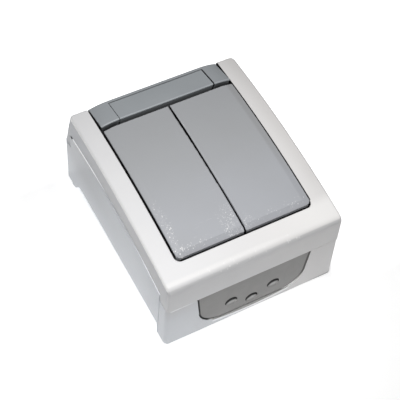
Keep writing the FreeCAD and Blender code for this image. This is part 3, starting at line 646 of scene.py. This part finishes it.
# Painted shade: the near face, the strip's ends and the plate's slot are darkened towards black.
past_label = abs(across).rise(18.6, 20.0) * depth.rise(0.7, 1.3)
near_shade = 0.05 + depth.rise(1.8, 2.8) * 0.30 + past_label * 0.33
near_face_shade = along.rise(26.8, 26.4) * depth.rise(0.40, 0.70) * near_shade
end_face_shade = abs(across).rise(24.8, 25.0) * depth.rise(0.50, 0.90)
label_slot_shade = abs(across).band(17.9, 18.1, 18.46, 18.60) * depth.rise(0.15, 0.35)
label_slot_shade = label_slot_shade * depth.rise(1.6, 0.9).most(along.rise(24.9, 25.3))
right_line_shade = across.band(18.20, 18.30, 18.66, 18.78) * along.rise(34.2, 34.0)
far_line_shade = along.band(33.70, 33.80, 34.28, 34.40) * abs(across).rise(18.5, 18.4) * 0.5
strip_gap_shade = near_face_shade.most(end_face_shade).most(label_slot_shade).most(right_line_shade).most(far_line_shade)
feed(strip_shader, {"Base Color": strip_gap_shade.tint(strip_tone, GAP_SHADE_BLACK)})
dress(strip_finish, "label_strip")

# %% [markdown]
# ## Label plate
# The plate let into the strip is of the same plastic, a little glossier. Its face stays bare;
# its near face gets a little painted shade, and its edges, down in the slot, are painted black
# as shade.

# %% Label plate
label_finish, label_shader, place, label_tone = plain_plastic(
    "label grey", (0.402, 0.430, 0.453, 1), (0.382, 0.410, 0.433, 1), 0.36)
across, along, up = axes(place)
depth = below_strip(across, along, up)
# Painted shade on the plate's near face and on its edges in the slot.
near_face_shade = along.rise(26.8, 26.4) * depth.rise(0.40, 0.70) * 0.05
plate_edge_shade = abs(across).rise(18.08, 18.16).most(along.rise(33.5, 33.7))
plate_edge_shade = plate_edge_shade * depth.rise(0.10, 0.30)
feed(label_shader, {"Base Color": near_face_shade.most(plate_edge_shade).tint(label_tone, GAP_SHADE_BLACK)})
dress(label_finish, "label_plate")

# %% [markdown]
# ## Rubber
# The cable entry is soft grey rubber and the seal under the frame is black. Rubber has no
# clear highlight: its pores scatter the light, so the grain is coarser and the face matt.

# %% Rubber, and the seal


def soft_rubber(name, pale, shade):
    """Matt rubber, mottled and porous: material, shader, position and colour."""
    material, shader, place = begin(name)
    mottle = place.noise(260.0, 5.0, 0.6)
    pores = place.noise(2600.0)
    tone = mottle.rise(0.3, 0.7).tint(shade, pale)
    feed(shader, {
        "Base Color": tone,
        "Roughness": 0.62 + mottle * 0.15,
        "Normal": relief(pores, 0.02 * MM),
    })
    return material, shader, place, tone


seal_finish = soft_rubber("seal rubber", (0.045, 0.045, 0.047, 1), (0.03, 0.03, 0.031, 1))[0]
dress(seal_finish, "cover_gasket")

# %% [markdown]
# ## Cable entry
# Each dimple is a round hole with a painted shadow under its upper rim and a painted highlight
# on its floor below: an ellipse, set low in the dimple, parts the two. The entry's sunk faces
# are painted dark as shade, and a painted dark line of shade follows the entry's rounded lower
# corners, where it meets the notch.

# %% Cable entry
DIMPLES = ((-8.2, 10.1), (0.0, 7.0), (8.2, 10.1))
BOWL_SHIFT = 0.9
BOWL_DROP = 3.0
BOWL_HALF_WIDTH = 3.4
BOWL_HALF_HEIGHT = 2.5
CORNER_X = 11.8
CORNER_Z = 12.0
SIDE_FLARE = 0.107

entry_finish, entry_shader, place, entry_tone = soft_rubber(
    "entry rubber", (0.375, 0.372, 0.369, 1), (0.345, 0.342, 0.339, 1))
across, along, up = axes(place)
# Painted shade: the entry's sunk faces start dark.
sunk = along.rise(-40.53, -40.47)
dark = sunk
for dimple_x, dimple_z in DIMPLES:
    bowl_x = (across - (dimple_x + BOWL_SHIFT)) * (1 / BOWL_HALF_WIDTH)
    bowl_z = (up - (dimple_z - BOWL_DROP)) * (1 / BOWL_HALF_HEIGHT)
    bowl = bowl_x * bowl_x + bowl_z * bowl_z
    in_dimple = abs(across - dimple_x).rise(2.7, 2.5) * abs(up - dimple_z).rise(2.7, 2.5) * sunk
    # Painted highlight: the pale, lit floor of each dimple.
    pale = in_dimple * bowl.rise(1.0, 0.7) * (up - dimple_z).rise(-2.2, -0.9)
    entry_tone = pale.tint(entry_tone, (0.66, 0.66, 0.66, 1))
    # Painted shadow: the crescent under each dimple's upper rim stays dark.
    dark = dark - in_dimple * bowl.rise(1.15, 0.95)

# Painted shade: a dark line along the entry's rounded lower corners.
past_corner_x = (abs(across) - CORNER_X - (up - CORNER_Z).most(0.0) * SIDE_FLARE).most(0.0)
past_corner_z = (CORNER_Z - up).most(0.0)
rim = (past_corner_x * past_corner_x + past_corner_z * past_corner_z).rise(66.0, 70.5)
rim = rim * (across.rise(-12.0, -15.0) * 0.95).most(across.rise(12.0, 17.0) * 0.6)
feed(entry_shader, {"Base Color": dark.most(rim).tint(entry_tone, (0.02, 0.02, 0.02, 1))})
dress(entry_finish, "cable_entry")

# %% [markdown]
# ## Inside the box
# The mechanism shows only through the gaps and where the switch is taken apart: a cream
# pressed insulator, natural white cradles, black plungers, plated screws and brass contacts.

# %% Plastics of the mechanism
cream = plain_plastic("pressed cream", (0.64, 0.61, 0.54, 1), (0.56, 0.53, 0.46, 1), 0.50)[0]
dress(cream, "mechanism_body")
natural = plain_plastic("natural white", (0.72, 0.71, 0.68, 1), (0.66, 0.65, 0.62, 1), 0.45)[0]
dress(natural, "cradle_left", "cradle_right")
black = plain_plastic("plunger black", (0.05, 0.05, 0.055, 1), (0.035, 0.035, 0.04, 1), 0.35)[0]
dress(black, "plunger_left", "plunger_right")

# %% [markdown]
# ## Metals
# Brass strip keeps the fine lines of its rolling and darkens in patches. Zinc plating is
# duller and cooler. Stretching a noise along one axis with a Mapping node draws the lines.

# %% Brass, plated screws and spring wire


def drawn_metal(name, bright, dull, roughness):
    """Metal with fine drawn lines and patches where it has dulled."""
    material, shader, place = begin(name)
    stretched = place.node("ShaderNodeMapping", {}, {"Vector": place, "Scale": (1.0, 0.06, 1.0)})
    lines = stretched.noise(9000.0, 2.0)
    patches = place.noise(380.0, 4.0, 0.6)
    feed(shader, {
        "Base Color": patches.rise(0.35, 0.65).tint(dull, bright),
        "Metallic": 1.0,
        "Roughness": roughness + lines * 0.12 + patches * 0.10,
        "Normal": relief(lines, 0.006 * MM),
    })
    return material


dress(drawn_metal("contact brass", (0.80, 0.62, 0.30, 1), (0.62, 0.46, 0.21, 1), 0.22),
      "common_terminal", "terminal_clamps", "contact_left", "contact_right",
      "fixed_contact_left", "fixed_contact_right")
dress(drawn_metal("screw zinc", (0.66, 0.67, 0.69, 1), (0.52, 0.53, 0.55, 1), 0.30),
      "mechanism_screws", "terminal_screws")
dress(drawn_metal("spring wire", (0.56, 0.56, 0.57, 1), (0.44, 0.44, 0.45, 1), 0.25),
      "spring_left", "spring_right")
